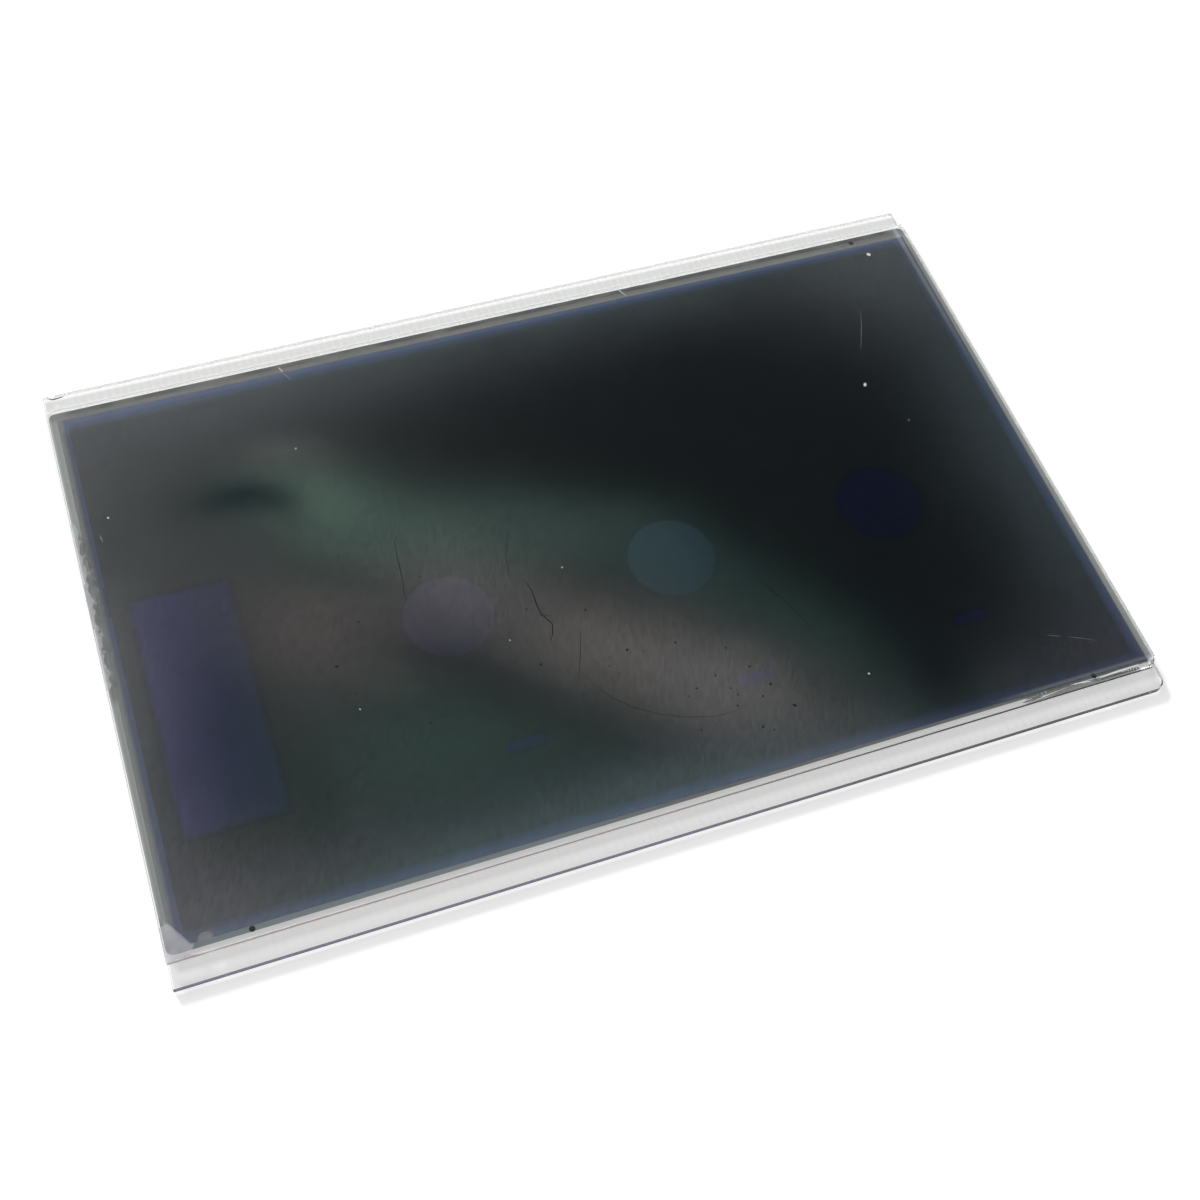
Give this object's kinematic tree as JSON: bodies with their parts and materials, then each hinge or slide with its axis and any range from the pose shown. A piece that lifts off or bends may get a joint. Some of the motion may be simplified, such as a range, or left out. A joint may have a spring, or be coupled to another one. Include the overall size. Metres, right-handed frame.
{
  "type": "liquid crystal display cell of an excavator monitor panel",
  "caption": "Flat glass display cell: two sealed plates with stepped contact ledges along both long sides and a dark polarising film on each face.",
  "frame": {"origin": "middle of the base: the underside of the rear polariser, under the centre of the rear plate", "axes": "+X along the long side to the right, +Y towards the far ledge, +Z out of the face that the driver looks at"},
  "size_m": [0.14, 0.094, 0.0026],
  "materials": {
    "plate_glass": "clear polished glass with cut edges",
    "front_film": "dark polarising film, satin hard coat, scratched and cracked",
    "rear_film": "dark polarising film, satin",
    "seal_epoxy": "grey translucent epoxy",
    "plug_resin": "cloudy pale resin",
    "liquid_crystal": "dark in the unpowered state",
    "dot_paste": "dark metal-filled paste",
    "violet_ink": "printed colour",
    "blue_ink": "printed colour",
    "conductive_coat": "clear conductive oxide, faintly tinted",
    "old_glue": "cloudy dried glue"
  },
  "bodies": {
    "root": {"rear_polariser": "rear_film", "rear_glass": "plate_glass", "near_contacts": "conductive_coat", "far_contacts": "conductive_coat", "edge_seal": "seal_epoxy", "port_plug": "plug_resin", "liquid_crystal": "liquid_crystal", "near_left_dot": "dot_paste", "near_right_dot": "dot_paste", "far_right_dot": "dot_paste", "gauge_patch": "violet_ink", "left_dial_patch": "blue_ink", "middle_dial_patch": "blue_ink", "right_dial_patch": "blue_ink", "left_label_patch": "blue_ink", "middle_label_patch": "blue_ink", "right_label_patch": "blue_ink", "front_glass": "plate_glass", "front_polariser": "front_film", "old_glue": "old_glue"}
  },
  "joints": []
}
